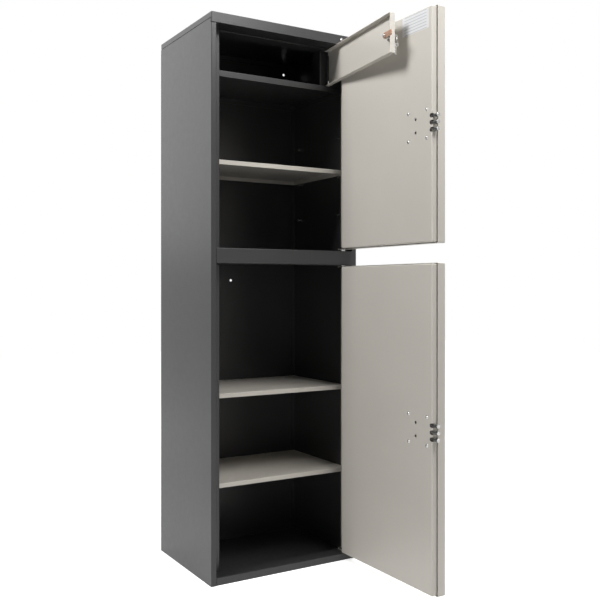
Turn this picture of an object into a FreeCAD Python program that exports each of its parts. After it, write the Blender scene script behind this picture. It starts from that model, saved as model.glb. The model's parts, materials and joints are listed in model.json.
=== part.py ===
import FreeCAD, Part
import math
import os

# Two-door steel office cabinet with an inner lockable box and loose shelves.
# Millimetres. Origin on the floor under the middle of the footprint, +Z up, front towards -Y.
# Both main doors stand open at a right angle, as they do at rest.

# Carcass
width = 460.0
depth = 340.0
height = 1490.0
sheet = 1.0
bend = 1.0
edge_radius = 2.0
post_face = 15.0
lock_return = 25.5
back_flange = 15.0

# Top cap and base
cap_lip = 27.0
cap_skirt = 15.0
cap_seam = 2.0
lip_seam = 2.0
cap_channel = 58.0
cap_upturn = 12.0
rail_height = 20.0
rail_return = 40.0
base_upstand = 14.0

# Divider between the door openings
upper_opening = 585.0
divider_face = 40.5
divider_return = 40.0
divider_flange = 18.0

# Stop strips behind the lock-side post
stop_setback = 43.0
stop_reach = 45.0
stop_leg = 15.0
stop_lip = 6.0
stop_foot = 20.0
stop_end_gap = 3.0
stop_head_gap = 3.0

# Loose shelves and the studs under them
upper_shelf_rise = 238.0
lower_shelf_drop = 346.5
lower_shelf_step = 239.5
shelf_lip = 12.0
shelf_radius = 1.5
shelf_setback = 50.0
shelf_side_gap = 2.0
shelf_back_gap = 3.0
stud_radius = 4.0
stud_reach = 8.0
stud_front = 80.0
stud_back = 300.0
spare_stud_rise = 112.0

# Wall-anchor holes in the back
anchor_radius = 3.8
anchor_spacing = 380.0
anchor_drop = 34.5
anchor_mid_drop = 41.0

# Main doors
door_side_gap = 2.5
upper_door_head_gap = 1.5
lower_door_head_gap = 2.5
upper_door_foot_gap = 5.0
lower_door_foot_gap = 2.5
door_sheet = 1.0
skin_depth = 24.0
skin_radius = 2.5
skin_hinge_wall = 13.0
door_depth = 39.0
liner_radius = 3.0
liner_groove = 3.5
liner_end_inset = 2.5
liner_hinge_inset = 39.0
door_open_angle = 90.0

# Main hinges
pivot_inset = 18.0
open_gap = 1.0
pin_radius = 4.0
pin_head_radius = 7.0
pin_head = 3.0
pin_engagement = 8.0
pivot_plate = 3.0
plate_gap = 1.0
bush_wall = 2.0
bush_flange_radius = 9.0
bush_flange = 1.2
bush_length = 9.0
washer_radius = 8.0
washer_play = 0.2
running_clearance = 0.06

# Main locks
upper_lock_rise = 297.0
lower_lock_rise = 402.5
case_from_edge = 58.0
case_size = 88.0
case_depth = 17.0
case_wall = 1.5
rivet_spread_x = 69.0
rivet_spread_z = 70.0
rivet_radius = 2.4
rivet_head_radius = 4.5
rivet_head = 2.5
rivet_tail = 1.0
plug_from_edge = 65.0
drill_spread = 33.5
drill_radius = 3.6
bolt_radius = 5.0
bolt_pitch = 17.0
bolt_inset = 31.2
bolt_reach = 11.0
bolt_travel = 12.0
bolt_clearance = 0.4
bolt_slot = 9.0
carriage_sheet = 3.0
carriage_length = 50.0
carriage_margin = 6.0
plug_radius = 6.0
plug_head_radius = 8.0
plug_head = 1.5
plug_turn = 90.0
crank_sheet = 3.5
crank_pin_radius = 2.5
crank_play = 0.7
crank_rim = 3.0
keyway_width = 2.4
keyway_height = 8.4
escutcheon_radius = 14.0
escutcheon_sheet = 1.5

# Inner box
box_space = 105.0
box_floor_edge = 16.5
box_floor_setback = 60.5
box_door_setback = 62.5
box_door_depth = 15.0
box_door_radius = 1.5
box_door_foot_gap = 1.5
box_door_head_gap = 1.5
box_door_open_angle = 82.5
box_door_rest_gap = 1.2
box_door_side_gap = 1.3
box_pin_radius = 2.5
box_pin_clearance = 0.5
box_pin_length = 14.0
box_pin_engagement = 8.0
box_washer_radius = 5.0
header_setback = 59.0
header_depth = 50.0
header_step = 1.0
jamb_gap = 1.3
jamb_return = 58.0
jamb_leg = 15.0
jamb_stop_reach = 27.5
lock_post_clearance = 1.5

# Lock of the inner box
cam_lock_from_edge = 19.0
cam_lock_drop = 4.0
barrel_radius = 8.0
barrel_head_radius = 10.5
barrel_head = 2.5
barrel_length = 18.0
barrel_nut_flats = 22.0
barrel_nut = 6.0
core_radius = 5.5
cam_sheet = 2.0
cam_width = 14.0
cam_overreach = 16.0
cam_screw_radius = 4.5
cam_screw = 3.0

# Keys
key_sheet = 2.2
key_slot_play = 0.1
key_blade_height = 8.0
key_blade_length = 16.0
key_bow_radius = 7.5
key_neck = 1.5
key_hole_radius = 2.6
key_hole_offset = 2.5
ring_radius = 6.0
ring_wire = 0.9
ring_play = 0.4
spare_bow_radius = 7.5
spare_hole_offset = 2.5
spare_blade_width = 7.5
spare_blade_length = 22.0
spare_blade_overlap = 2.0
spare_notch_depth = 2.0
spare_notch_length = 4.0
spare_notch_pitch = 6.0

# Places that follow from the driving sizes
left = -width / 2
right = width / 2
front = -depth / 2
back = depth / 2
cap_under = height - cap_lip
side_top = height - cap_skirt - cap_seam
divider_top = cap_under - upper_opening
divider_under = divider_top - divider_face
anchor_mid_height = divider_under - anchor_mid_drop
inner_left = left + sheet
inner_right = right - sheet
inner_back = back - 2 * sheet
opening_left = left + post_face
opening_right = right - post_face

lower_shelf_top = divider_under - lower_shelf_drop
shelf_levels = {
    "upper_shelf": divider_top + upper_shelf_rise,
    "lower_shelf_high": lower_shelf_top,
    "lower_shelf_low": lower_shelf_top - lower_shelf_step,
}
lock_heights = {"upper": divider_top + upper_lock_rise, "lower": rail_height + lower_lock_rise}

door_left = opening_left + door_side_gap
door_right = opening_right - door_side_gap
pivot_y = front + pivot_inset
pivot_x = opening_right - open_gap - pivot_inset
liner_left = door_left + door_sheet + liner_groove
liner_right = door_right - liner_hinge_inset
door_heights = {
    "upper": (divider_top + upper_door_foot_gap, cap_under - upper_door_head_gap),
    "lower": (rail_height + lower_door_foot_gap, divider_under - lower_door_head_gap),
}

box_floor_top = cap_under - box_space
box_open = math.radians(box_door_open_angle)
box_pin_inset = door_sheet + box_pin_clearance + box_pin_radius
box_pivot_y = front + box_door_setback + box_pin_inset
liner_corner_x = pivot_x - (door_depth - pivot_inset)
liner_corner_y = pivot_y + (liner_right - pivot_x)
box_lead = box_pin_inset + box_door_rest_gap + (liner_corner_y - box_pivot_y) * math.cos(box_open)
box_pivot_x = liner_corner_x - box_lead / math.sin(box_open)
stop_edge = left + stop_reach
box_door_left = stop_edge + box_door_side_gap
box_door_right = box_pivot_x + box_pin_radius + door_sheet
box_door_face = front + box_door_setback
box_door_rim = box_door_face + box_door_depth
header_under = cap_under - header_step
box_door_foot = box_floor_top + box_door_foot_gap
box_door_head = header_under - box_door_head_gap
jamb_left = box_pivot_x + math.hypot(box_pin_radius + door_sheet, box_pin_inset) + jamb_gap
rim_sweep = math.hypot(box_door_right - box_pivot_x, box_door_rim - box_pivot_y)
jamb_stop_face = box_pivot_y + rim_sweep + jamb_gap
jamb_stop_left = jamb_left - jamb_stop_reach
cam_lock_x = box_door_left + cam_lock_from_edge
cam_lock_z = (box_door_foot + box_door_head) / 2 - cam_lock_drop
barrel_end = box_door_face + barrel_length
core_end = barrel_end + running_clearance

X_AXIS = FreeCAD.Vector(1, 0, 0)
Y_AXIS = FreeCAD.Vector(0, 1, 0)
Z_AXIS = FreeCAD.Vector(0, 0, 1)


def block(x, y, z):
    """Box between pairs of limits on the three axes."""
    corner = FreeCAD.Vector(x[0], y[0], z[0])
    return Part.makeBox(x[1] - x[0], y[1] - y[0], z[1] - z[0], corner)


def rod(radius, start, length, axis):
    """Cylinder that starts at a point and runs along an axis."""
    return Part.makeCylinder(radius, length, FreeCAD.Vector(*start), axis)


def joined(shapes):
    """One solid from shapes that share faces or overlap."""
    return shapes[0].multiFuse(shapes[1:]).removeSplitter()


def without(shape, tools):
    """A shape with several others cut away."""
    return shape.cut(Part.makeCompound(tools))


def closed_wire(corners, place):
    """Closed wire through (u, v, radius) corners, with each radius as a tangent arc."""
    edges = []
    leaves = []
    arrives = []
    for i, (u, v, radius) in enumerate(corners):
        here = FreeCAD.Vector(u, v, 0)
        before = FreeCAD.Vector(*corners[i - 1][:2], 0) - here
        after = FreeCAD.Vector(*corners[(i + 1) % len(corners)][:2], 0) - here
        before.normalize()
        after.normalize()
        half = before.getAngle(after) / 2
        setback = radius / math.tan(half)
        arrive = here + before * setback
        leave = here + after * setback
        arrives.append(arrive)
        leaves.append(leave)
        if radius > 0:
            middle_way = (before + after).normalize()
            crown = here + middle_way * (radius / math.sin(half) - radius)
            points = [place(point.x, point.y) for point in (arrive, crown, leave)]
            edges.append(Part.Arc(*points).toShape())
    for i, leave in enumerate(leaves):
        arrive = arrives[(i + 1) % len(corners)]
        edges.append(Part.makeLine(place(leave.x, leave.y), place(arrive.x, arrive.y)))
    return Part.Wire(Part.__sortEdges__(edges))


def folded(path, place, sweep):
    """Sheet folded along a path of outer points, lying to the left of it, swept by a vector."""
    points = [FreeCAD.Vector(u, v, 0) for u, v in path]
    ways = [(b - a).normalize() for a, b in zip(points, points[1:])]
    normals = [FreeCAD.Vector(-way.y, way.x, 0) for way in ways]
    outer = [(points[0].x, points[0].y, 0)]
    start = points[0] + normals[0] * sheet
    inner = [(start.x, start.y, 0)]
    for point, n_in, n_out, way in zip(points[1:], normals, normals[1:], ways[1:]):
        mitre = point + (n_in + n_out) * (sheet / (1 + n_in.dot(n_out)))
        turns_left = n_in.dot(way) > 0
        outer.append((point.x, point.y, bend + sheet if turns_left else bend))
        inner.append((mitre.x, mitre.y, bend if turns_left else bend + sheet))
    end = points[-1] + normals[-1] * sheet
    outer.append((points[-1].x, points[-1].y, 0))
    inner.append((end.x, end.y, 0))
    return Part.Face(closed_wire(outer + inner[::-1], place)).extrude(sweep)


def plan(z):
    """Places plan points (x, y) at a height."""
    return lambda x, y: FreeCAD.Vector(x, y, z)


def side_view(x):
    """Places side-view points (y, z) at an x."""
    return lambda y, z: FreeCAD.Vector(x, y, z)


def rounded_block(x, y, z, open_axis, open_value, radius):
    """Box with every edge rounded except those on its open side."""
    body = block(x, y, z)
    chosen = []
    for edge in body.Edges:
        if abs(getattr(edge.CenterOfMass, open_axis) - open_value) > radius / 2:
            chosen.append(edge)
    return body.makeFillet(radius, chosen)


def tray(x, y, z, open_axis, open_high, wall, radius):
    """Pressed tray with five walls, rounded bends and one open side."""
    limits = {"x": list(x), "y": list(y), "z": list(z)}
    open_index = 1 if open_high else 0
    outer = rounded_block(x, y, z, open_axis, limits[open_axis][open_index], radius)
    inside = {axis: [low + wall, high - wall] for axis, (low, high) in limits.items()}
    overshoot = radius if open_high else -radius
    inside[open_axis][open_index] = limits[open_axis][open_index] + overshoot
    open_value = inside[open_axis][open_index]
    hollow = rounded_block(inside["x"], inside["y"], inside["z"], open_axis, open_value, radius - wall)
    return outer.cut(hollow)


def ring_of(outer_radius, inner_radius, start, length, axis):
    """Round sleeve or washer."""
    return rod(outer_radius, start, length, axis).cut(rod(inner_radius, start, length, axis))


def side_panel(is_left):
    """Side panel with its front post, back flange and the upstand inside the cap's skirt."""
    side = 1 if is_left else -1
    outside = -side * width / 2
    inside = outside + side * sheet
    flange_end = outside + side * back_flange
    post_edge = outside + side * post_face
    path = [(flange_end, back - sheet), (outside, back - sheet), (outside, front), (post_edge, front)]
    if is_left:
        path.append((post_edge, front + lock_return))
    else:
        path.reverse()
    post_top = cap_under - lip_seam
    wall = folded(path, plan(0), FreeCAD.Vector(0, 0, post_top))
    deep = (front + edge_radius + lip_seam, back - sheet)
    upper_wall = block(sorted((outside, inside)), deep, (post_top, side_top))
    step_in = outside + side * 2 * sheet
    step = block(sorted((outside, step_in)), deep, (side_top - sheet, side_top))
    under_skirt = (front + edge_radius, inner_back)
    upstand = block(sorted((inside, step_in)), under_skirt, (side_top - sheet, height - edge_radius))
    return joined([wall, upper_wall, step, upstand])


def back_panel():
    """Back sheet with three anchor holes and the upstand inside the cap's skirt."""
    wall = block((left, right), (back - sheet, back), (0, side_top))
    ends = (left + 2 * sheet, right - 2 * sheet)
    step = block(ends, (inner_back, back), (side_top - sheet, side_top))
    upstand = block(ends, (inner_back, back - sheet), (side_top - sheet, height - edge_radius))
    high = height - anchor_drop
    places = [(-anchor_spacing / 2, high), (anchor_spacing / 2, high), (0, anchor_mid_height)]
    holes = [rod(anchor_radius, (x, back - 2 * sheet, z), 3 * sheet, Y_AXIS) for x, z in places]
    return without(joined([wall, step, upstand]), holes)


def pivot_bore(z, direction):
    """Cutter for a bush at the main door axis, through sheet at a height."""
    start = (pivot_x, pivot_y, z - direction * 2 * sheet)
    return rod(pin_radius + bush_wall, start, 4 * sheet, Z_AXIS * direction)


def top_cap():
    """Cap with a deep front lip, shallow side and back skirts and a front channel."""
    shell = tray((left, right), (front, back), (cap_under, height), "z", False, sheet, edge_radius)
    trim = block((left, right), (front + edge_radius, back), (cap_under, height - cap_skirt))
    channel_y = (front + sheet, front + cap_channel)
    channel = block((inner_left, inner_right), channel_y, (cap_under, cap_under + sheet))
    upturn_y = (front + cap_channel - sheet, front + cap_channel)
    upturn = block((inner_left + sheet, inner_right - sheet), upturn_y, (cap_under, cap_under + cap_upturn))
    return joined([shell.cut(trim), channel, upturn]).cut(pivot_bore(cap_under, 1))


def base_panel():
    """Floor tray with the front rail folded up and back."""
    path = [
        (front + rail_return, rail_height),
        (front, rail_height),
        (front, 0),
        (inner_back, 0),
    ]
    middle = folded(path, side_view(opening_left), FreeCAD.Vector(opening_right - opening_left, 0, 0))
    wing_y = (front + lock_return + sheet, inner_back - bend)
    pieces = [middle]
    for outer, inner in ((inner_left, opening_left), (inner_right, opening_right)):
        pieces.append(block(sorted((outer, inner)), wing_y, (0, sheet)))
        wall = sorted((outer, outer + math.copysign(sheet, inner - outer)))
        pieces.append(block(wall, wing_y, (0, base_upstand)))
    return joined(pieces).cut(pivot_bore(rail_height, -1))


def middle_divider():
    """Fixed shelf whose front face is the crossbar between the doors."""
    path = [
        (inner_back, divider_top - divider_flange),
        (inner_back, divider_top),
        (front, divider_top),
        (front, divider_under),
        (front + divider_return, divider_under),
        (front + divider_return, divider_under + divider_flange / 2),
    ]
    middle = folded(path, side_view(opening_left), FreeCAD.Vector(opening_right - opening_left, 0, 0))
    wing_y = (front + lock_return + sheet, inner_back - bend - sheet)
    pieces = [middle]
    for outer, inner in ((inner_left, opening_left), (inner_right, opening_right)):
        pieces.append(block(sorted((outer, inner)), wing_y, (divider_top - sheet, divider_top)))
        wall = sorted((outer, outer + math.copysign(sheet, inner - outer)))
        pieces.append(block(wall, wing_y, (divider_top - divider_flange, divider_top)))
    bores = [pivot_bore(divider_top, -1), pivot_bore(divider_under, 1)]
    return without(joined(pieces), bores)


def stop_strip(bottom, top):
    """Folded strip on the lock-side wall that the closed liner comes up to."""
    face_y = front + stop_setback
    path = [
        (inner_left, face_y + stop_leg),
        (inner_left, face_y),
        (stop_edge, face_y),
        (stop_edge, face_y + stop_lip),
    ]
    return folded(path, plan(bottom), FreeCAD.Vector(0, 0, top - bottom))


def shelf(top):
    """Loose shelf pressed with a lip on all four sides."""
    x = (inner_left + shelf_side_gap, inner_right - shelf_side_gap)
    y = (front + shelf_setback, inner_back - shelf_back_gap)
    return tray(x, y, (top - shelf_lip, top), "z", False, sheet, shelf_radius)


def stud_heights():
    """Heights of the stud axes: under each shelf, and spare ones around the upper shelf."""
    heights = [top - shelf_lip - stud_radius for top in shelf_levels.values()]
    middle = shelf_levels["upper_shelf"] - shelf_lip - stud_radius
    return heights + [middle + spare_stud_rise, middle - spare_stud_rise]


def shelf_studs():
    """Round studs welded to the inside of both side panels."""
    studs = []
    for z in stud_heights():
        for y in (front + stud_front, front + stud_back):
            studs.append(rod(stud_radius, (inner_left, y, z), stud_reach, X_AXIS))
            studs.append(rod(stud_radius, (inner_right, y, z), stud_reach, -X_AXIS))
    return Part.makeCompound(studs)


def bush(z, direction):
    """Flanged bush in sheet at a height, with its sleeve leading away from the door."""
    axis = Z_AXIS * direction
    flange = rod(bush_flange_radius, (pivot_x, pivot_y, z), bush_flange, -axis)
    sleeve = rod(pin_radius + bush_wall, (pivot_x, pivot_y, z), bush_length, axis)
    start = (pivot_x, pivot_y, z - direction * bush_flange)
    bore = rod(pin_radius + running_clearance, start, bush_flange + bush_length, axis)
    return joined([flange, sleeve]).cut(bore)


def hinge_bushes():
    """The four bushes of the main doors."""
    seats = ((cap_under, 1), (divider_top, -1), (divider_under, 1), (rail_height, -1))
    return Part.makeCompound([bush(z, direction) for z, direction in seats])


def thrust_washers():
    """Washers that carry the weight of the three doors."""
    washers = []
    for seat, foot in ((divider_top, door_heights["upper"][0]), (rail_height, door_heights["lower"][0])):
        start = (pivot_x, pivot_y, seat + bush_flange)
        height_left = foot - seat - bush_flange - washer_play
        washers.append(ring_of(washer_radius, pin_radius + running_clearance, start, height_left, Z_AXIS))
    start = (box_pivot_x, box_pivot_y, box_floor_top)
    inner = box_pin_radius + running_clearance
    washers.append(ring_of(box_washer_radius, inner, start, box_door_foot_gap - washer_play, Z_AXIS))
    return Part.makeCompound(washers)


def box_pin_bore(z):
    """Cutter for the inner box's hinge pin, through sheet at a height."""
    start = (box_pivot_x, box_pivot_y, z - 2 * sheet)
    return rod(box_pin_radius + running_clearance, start, 4 * sheet, Z_AXIS)


def box_floor():
    """Fixed floor of the inner box, a tray with its lip down."""
    y = (front + box_floor_setback, inner_back)
    z = (box_floor_top - box_floor_edge, box_floor_top)
    floor = tray((inner_left, inner_right), y, z, "z", False, sheet, edge_radius)
    return floor.cut(box_pin_bore(box_floor_top))


def box_header():
    """Channel under the cap that holds the upper pin of the inner box's door."""
    near = front + header_setback
    far = near + header_depth
    path = [(near, height - sheet), (near, header_under), (far, header_under), (far, height - sheet)]
    length = width - 4 * sheet
    channel = folded(path, side_view(inner_left + sheet), FreeCAD.Vector(length, 0, 0))
    return channel.cut(box_pin_bore(header_under))


def box_hinge_jamb():
    """Filler beside the hinge of the inner box's door, stepped back as a stop behind the door."""
    path = [
        (jamb_stop_left, box_door_face + jamb_return),
        (jamb_stop_left, jamb_stop_face),
        (jamb_left, jamb_stop_face),
        (jamb_left, box_door_face),
        (inner_right, box_door_face),
        (inner_right, box_door_face + jamb_leg),
    ]
    return folded(path, plan(box_floor_top), FreeCAD.Vector(0, 0, header_under - box_floor_top))


def box_lock_post():
    """Post beside the inner box's lock, whose return the cam catches behind."""
    path = [
        (inner_left, box_door_face + jamb_leg),
        (inner_left, box_door_face),
        (stop_edge, box_door_face),
        (stop_edge, core_end - lock_post_clearance),
    ]
    return folded(path, plan(box_floor_top), FreeCAD.Vector(0, 0, header_under - box_floor_top))


def lock_centre(name):
    """Axis of a main lock's plug on the closed door."""
    return door_left + plug_from_edge, lock_heights[name]


def case_limits(name):
    """Limits of a main lock's case on the closed door."""
    middle = door_left + case_from_edge
    half = case_size / 2
    back_face = front + door_depth - door_sheet
    z = lock_heights[name]
    return (middle - half, middle + half), (back_face - case_depth, back_face), (z - half, z + half)


def rivet_places(name):
    """Rivet axes of a main lock, as x and z on the closed door."""
    middle = door_left + case_from_edge
    z = lock_heights[name]
    places = []
    for dx in (-rivet_spread_x / 2, rivet_spread_x / 2):
        for dz in (-rivet_spread_z / 2, rivet_spread_z / 2):
            places.append((middle + dx, z + dz))
    return places


def bolt_heights(name):
    """Heights of the three bolt axes of a main lock."""
    return [lock_heights[name] + step * bolt_pitch for step in (-1, 0, 1)]


def drill_holes(name, from_y, length):
    """Cutters for the two plain holes over and under the plug's axis."""
    x, z = lock_centre(name)
    tools = []
    for dz in (-drill_spread / 2, drill_spread / 2):
        tools.append(rod(drill_radius, (x, from_y, z + dz), length, Y_AXIS))
    return tools


def bolt_slots(name):
    """Cutters for the slots, open on the liner's face and its free edge, that the bolts pass."""
    half = bolt_radius + bolt_clearance
    start = liner_left - door_sheet
    end = liner_left + bolt_slot - half
    bolt_y = front + bolt_inset
    face = front + door_depth + door_sheet
    tools = []
    for z in bolt_heights(name):
        tunnel = rod(half, (start, bolt_y, z), 3 * door_sheet, X_AXIS)
        channel = block((start, end), (bolt_y, face), (z - half, z + half))
        round_end = rod(half, (end, bolt_y, z), face - bolt_y, Y_AXIS)
        tools.append(joined([tunnel, channel, round_end]))
    return tools


def door_skin(name):
    """Outer tray of a main door, lower at its hinge end, with its pin holes and its plug hole."""
    z = door_heights[name]
    skin = tray((door_left, door_right), (front, front + skin_depth), z, "y", True, door_sheet, skin_radius)
    x, lock_z = lock_centre(name)
    bore = plug_radius + running_clearance
    tools = [rod(bore, (x, front - door_sheet, lock_z), 3 * door_sheet, Y_AXIS)]
    end_x = (door_right - 2 * door_sheet, door_right + door_sheet)
    end_y = (front + skin_hinge_wall, front + skin_depth + door_sheet)
    end_z = (z[0] + skin_radius + door_sheet, z[1] - skin_radius - door_sheet)
    tools.append(block(end_x, end_y, end_z))
    for end in z:
        start = (pivot_x, pivot_y, end - 2 * door_sheet)
        tools.append(rod(pin_radius + running_clearance, start, 4 * door_sheet, Z_AXIS))
    return without(skin, tools)


def door_liner(name):
    """Inner tray of a main door with rivet holes, plain holes and bolt slots."""
    low, high = door_heights[name]
    z = (low + liner_end_inset, high - liner_end_inset)
    face = front + door_depth
    y = (front + door_sheet, face)
    liner = tray((liner_left, liner_right), y, z, "y", False, door_sheet, liner_radius)
    from_y = face - 2 * door_sheet
    tools = drill_holes(name, from_y, 3 * door_sheet) + bolt_slots(name)
    for x, rivet_z in rivet_places(name):
        tools.append(rod(rivet_radius, (x, from_y, rivet_z), 3 * door_sheet, Y_AXIS))
    return without(liner, tools)


def pivot_plates(name):
    """Plates inside the skin that stiffen its ends at the pins."""
    low, high = door_heights[name]
    x = (liner_right + plate_gap, door_right - skin_radius)
    y = (front + skin_radius, front + skin_depth - plate_gap)
    spans = (
        (low + door_sheet, low + door_sheet + pivot_plate),
        (high - door_sheet - pivot_plate, high - door_sheet),
    )
    bore = rod(pin_radius + running_clearance, (pivot_x, pivot_y, low), high - low, Z_AXIS)
    return Part.makeCompound([block(x, y, span).cut(bore) for span in spans])


def hinge_pins(name):
    """Headed pins of a main door, one up and one down."""
    low, high = door_heights[name]
    head_low = low + door_sheet + pivot_plate
    head_high = high - door_sheet - pivot_plate
    seats = {"upper": (divider_top, cap_under), "lower": (rail_height, divider_under)}[name]
    pins = []
    for seat, head, axis in ((seats[1], head_high, Z_AXIS), (seats[0], head_low, -Z_AXIS)):
        shank = rod(pin_radius, (pivot_x, pivot_y, head), abs(seat - head) + pin_engagement, axis)
        cap = rod(pin_head_radius, (pivot_x, pivot_y, head), pin_head, -axis)
        pins.append(joined([shank, cap]))
    return Part.makeCompound(pins)


def lock_case(name):
    """Hollow case of a main lock, held to the inside of the liner."""
    x, y, z = case_limits(name)
    hollow = [(low + case_wall, high - case_wall) for low, high in (x, y, z)]
    centre_x, centre_z = lock_centre(name)
    tools = [block(*hollow)]
    tools += drill_holes(name, y[1] - 2 * case_wall, 3 * case_wall)
    plug_bore = plug_radius + running_clearance
    tools.append(rod(plug_bore, (centre_x, y[0] - case_wall, centre_z), 3 * case_wall, Y_AXIS))
    for rivet_x, rivet_z in rivet_places(name):
        tools.append(rod(rivet_radius, (rivet_x, y[1] - 2 * case_wall, rivet_z), 3 * case_wall, Y_AXIS))
    for bolt_z in bolt_heights(name):
        start = (x[0] - case_wall, front + bolt_inset, bolt_z)
        tools.append(rod(bolt_radius + bolt_clearance, start, 3 * case_wall, X_AXIS))
    return without(block(x, y, z), tools)


def lock_rivets(name):
    """Dome-headed rivets through the liner and the lock case."""
    face = front + door_depth
    shank_length = door_sheet + case_wall + rivet_tail
    sphere_radius = (rivet_head_radius**2 + rivet_head**2) / (2 * rivet_head)
    rivets = []
    for x, z in rivet_places(name):
        ball = Part.makeSphere(sphere_radius, FreeCAD.Vector(x, face + rivet_head - sphere_radius, z))
        dome = ball.common(rod(rivet_head_radius, (x, face, z), 2 * rivet_head, Y_AXIS))
        shank = rod(rivet_radius, (x, face - shank_length, z), shank_length, Y_AXIS)
        rivets.append(joined([dome, shank]))
    return Part.makeCompound(rivets)


def escutcheon(name):
    """Round rose on the outside of a main door."""
    x, z = lock_centre(name)
    start = (x, front - escutcheon_sheet, z)
    return ring_of(escutcheon_radius, plug_radius + running_clearance, start, escutcheon_sheet, Y_AXIS)


crank_radius = bolt_travel / (2 * math.sin(math.radians(plug_turn / 2)))
carriage_y = (front + bolt_inset - carriage_sheet / 2, front + bolt_inset + carriage_sheet / 2)


def bolt_carriage(name):
    """Plate that carries the bolts, with the slot that the plug's crank pin works in."""
    x, z = lock_centre(name)
    slot_x = x - bolt_travel / 2
    start = slot_x - carriage_length / 2
    half_height = bolt_pitch + bolt_radius + carriage_margin
    plate = block((start, start + carriage_length), carriage_y, (z - half_height, z + half_height))
    half_slot = crank_pin_radius + crank_play
    lowest = crank_radius * math.cos(math.radians(plug_turn / 2)) - half_slot
    highest = crank_radius + half_slot
    slot = block((slot_x - half_slot, slot_x + half_slot), carriage_y, (z + lowest, z + highest))
    return plate.cut(slot)


def lock_bolts(name):
    """Three round bolts, thrown, with rounded noses."""
    x = lock_centre(name)[0]
    root = x - bolt_travel / 2 - carriage_length / 2
    tip = door_left - bolt_reach
    bolts = []
    for z in bolt_heights(name):
        bolt = rod(bolt_radius, (tip, front + bolt_inset, z), root - tip, X_AXIS)
        nose = [edge for edge in bolt.Edges if edge.BoundBox.XMax < tip + bolt_radius / 2]
        bolts.append(bolt.makeFillet(bolt_radius / 4, nose))
    return Part.makeCompound(bolts)


def lock_plug(name):
    """Turning plug of a main lock with its keyway and the crank that moves the bolts."""
    x, z = lock_centre(name)
    crank_end = carriage_y[0] - crank_play
    head_face = front - escutcheon_sheet - plug_head
    head = rod(plug_head_radius, (x, head_face, z), plug_head, Y_AXIS)
    crank_start = crank_end - crank_sheet
    shaft = rod(plug_radius, (x, head_face, z), crank_start - head_face, Y_AXIS)
    crank = rod(crank_radius + crank_rim, (x, crank_start, z), crank_sheet, Y_AXIS)
    thrown = math.radians(-plug_turn / 2)
    pin_x = x + crank_radius * math.sin(thrown)
    pin_z = z + crank_radius * math.cos(thrown)
    pin_length = carriage_sheet + crank_play
    pin = rod(crank_pin_radius, (pin_x, crank_end, pin_z), pin_length, Y_AXIS)
    half_wide = keyway_width / 2
    half_high = keyway_height / 2
    keyway_y = (head_face, head_face + skin_depth / 2)
    keyway = block((x - half_wide, x + half_wide), keyway_y, (z - half_high, z + half_high))
    return joined([head, shaft, crank, pin]).cut(keyway)


def box_door_panel():
    """Door of the inner box, a tray open at its hinge end, with its lock and pin holes."""
    y = (box_door_face, box_door_rim)
    z = (box_door_foot, box_door_head)
    panel = tray((box_door_left, box_door_right), y, z, "y", True, door_sheet, box_door_radius)
    start = (cam_lock_x, box_door_face - door_sheet, cam_lock_z)
    tools = [rod(barrel_radius + running_clearance, start, 3 * door_sheet, Y_AXIS)]
    end_x = (box_door_right - door_sheet - box_door_radius, box_door_right)
    end_y = (box_door_face + door_sheet, box_door_rim)
    end_z = (box_door_foot + door_sheet, box_door_head - door_sheet)
    tools.append(block(end_x, end_y, end_z))
    for end in z:
        start = (box_pivot_x, box_pivot_y, end - 2 * door_sheet)
        tools.append(rod(box_pin_radius + running_clearance, start, 4 * door_sheet, Z_AXIS))
    return without(panel, tools)


def box_hinge_pins():
    """Upper and lower pin of the inner box's door, held at the open end of its tray."""
    low_length = box_door_foot_gap + box_pin_length + box_pin_engagement
    low_start = (box_pivot_x, box_pivot_y, box_floor_top - box_pin_engagement)
    high_length = box_door_head_gap + box_pin_length + box_pin_engagement
    high_start = (box_pivot_x, box_pivot_y, box_door_head - box_pin_length)
    lower = rod(box_pin_radius, low_start, low_length, Z_AXIS)
    upper = rod(box_pin_radius, high_start, high_length, Z_AXIS)
    return Part.makeCompound([lower, upper])


def cam_lock_barrel():
    """Fixed barrel of the inner box's lock with its round head outside."""
    head_face = box_door_face - barrel_head
    head = rod(barrel_head_radius, (cam_lock_x, head_face, cam_lock_z), barrel_head, Y_AXIS)
    body = rod(barrel_radius, (cam_lock_x, head_face, cam_lock_z), barrel_head + barrel_length, Y_AXIS)
    start = (cam_lock_x, head_face, cam_lock_z)
    bore = rod(core_radius + running_clearance, start, barrel_head + barrel_length, Y_AXIS)
    return joined([head, body]).cut(bore)


def cam_lock_nut():
    """Six-sided nut that clamps the barrel from inside."""
    corner_radius = barrel_nut_flats / math.sqrt(3)
    near = box_door_face + door_sheet
    points = []
    for k in range(7):
        angle = math.radians(60 * k)
        x = cam_lock_x + corner_radius * math.cos(angle)
        z = cam_lock_z + corner_radius * math.sin(angle)
        points.append(FreeCAD.Vector(x, near, z))
    blank = Part.Face(Part.makePolygon(points)).extrude(Y_AXIS * barrel_nut)
    start = (cam_lock_x, near, cam_lock_z)
    return blank.cut(rod(barrel_radius + running_clearance, start, barrel_nut, Y_AXIS))


def cam_lock_core():
    """Turning core of the inner box's lock, slotted for the key."""
    head_face = box_door_face - barrel_head
    core = rod(core_radius, (cam_lock_x, head_face, cam_lock_z), core_end - head_face, Y_AXIS)
    half_wide = key_sheet / 2 + key_slot_play
    half_high = key_blade_height / 2 + key_slot_play
    slot_y = (head_face, head_face + key_blade_length + key_slot_play)
    x = (cam_lock_x - half_wide, cam_lock_x + half_wide)
    return core.cut(block(x, slot_y, (cam_lock_z - half_high, cam_lock_z + half_high)))


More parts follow.
